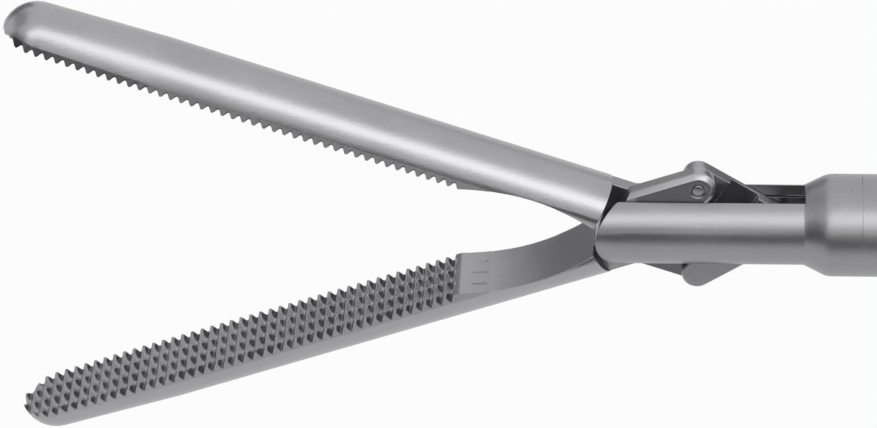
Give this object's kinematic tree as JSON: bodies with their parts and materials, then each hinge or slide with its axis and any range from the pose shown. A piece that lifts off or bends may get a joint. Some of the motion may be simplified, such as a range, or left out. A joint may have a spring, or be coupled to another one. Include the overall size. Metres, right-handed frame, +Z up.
{
  "type": "laparoscopic grasper working end",
  "caption": "Working end of a laparoscopic grasper: long double-action toothed jaws, slotted clevis, link drive, drive rod and shaft stub with rear coupling.",
  "frame": {"origin": "centre of the rear face of the ferrule's flange, on the shaft axis", "axes": "+X along the shaft away from the jaws, towards the handle; +Z up, the way the upper jaw opens; the jaws turn about Y"},
  "size_m": [0.0754, 0.009, 0.0236],
  "materials": {
    "jaw_steel": "satin, bead blasted",
    "shaft_steel": "satin, bead blasted",
    "tube_steel": "satin",
    "link_steel": "satin",
    "pin_steel": "ground flush",
    "rod_steel": "drawn",
    "ferrule_steel": "turned, satin",
    "guide_plastic": "natural fluoropolymer",
    "seal_rubber": "matt"
  },
  "bodies": {
    "shaft": {"clevis": "shaft_steel", "pivot_pin": "pin_steel", "shaft_tube": "tube_steel", "front_guide": "guide_plastic", "rod_seal": "seal_rubber", "seal_retainer": "guide_plastic", "rear_ferrule": "ferrule_steel", "ferrule_seal": "seal_rubber", "rear_guide": "guide_plastic"},
    "drive_rod": {"drive_fork": "rod_steel", "fork_pin": "pin_steel", "push_rod": "rod_steel", "rod_cross_pin": "pin_steel", "rod_coupler": "rod_steel"},
    "upper_jaw": {"upper_jaw": "jaw_steel", "lower_link_pin": "pin_steel"},
    "lower_jaw": {"lower_jaw": "jaw_steel", "upper_link_pin": "pin_steel"},
    "upper_link": {"upper_link": "link_steel"},
    "lower_link": {"lower_link": "link_steel"}
  },
  "joints": [
    {"name": "rod_slide", "type": "slide", "parent": "shaft", "child": "drive_rod", "axis": [1, 0, 0], "range_m": [0, 0.00117]},
    {"name": "upper_jaw_hinge", "type": "hinge", "parent": "shaft", "child": "upper_jaw", "pos_m": [-0.0301, 0, 0], "axis": [0, 1, 0], "range_deg": [-19.23, 0]},
    {"name": "lower_jaw_hinge", "type": "hinge", "parent": "shaft", "child": "lower_jaw", "pos_m": [-0.0301, 0, 0], "axis": [0, 1, 0], "range_deg": [0, 19.23]},
    {"name": "upper_link_hinge", "type": "hinge", "parent": "drive_rod", "child": "upper_link", "pos_m": [-0.02353, 0, 0], "axis": [0, 1, 0], "range_deg": [-18.02, 0]},
    {"name": "lower_link_hinge", "type": "hinge", "parent": "drive_rod", "child": "lower_link", "pos_m": [-0.02353, 0, 0], "axis": [0, 1, 0], "range_deg": [0, 18.02]}
  ],
  "couplings": [
    {"joint": "upper_jaw_hinge", "follows": "rod_slide", "rad_per_m": -288.09},
    {"joint": "lower_jaw_hinge", "follows": "rod_slide", "rad_per_m": 288.09},
    {"joint": "upper_link_hinge", "follows": "rod_slide", "rad_per_m": -269.82},
    {"joint": "lower_link_hinge", "follows": "rod_slide", "rad_per_m": 269.82}
  ]
}
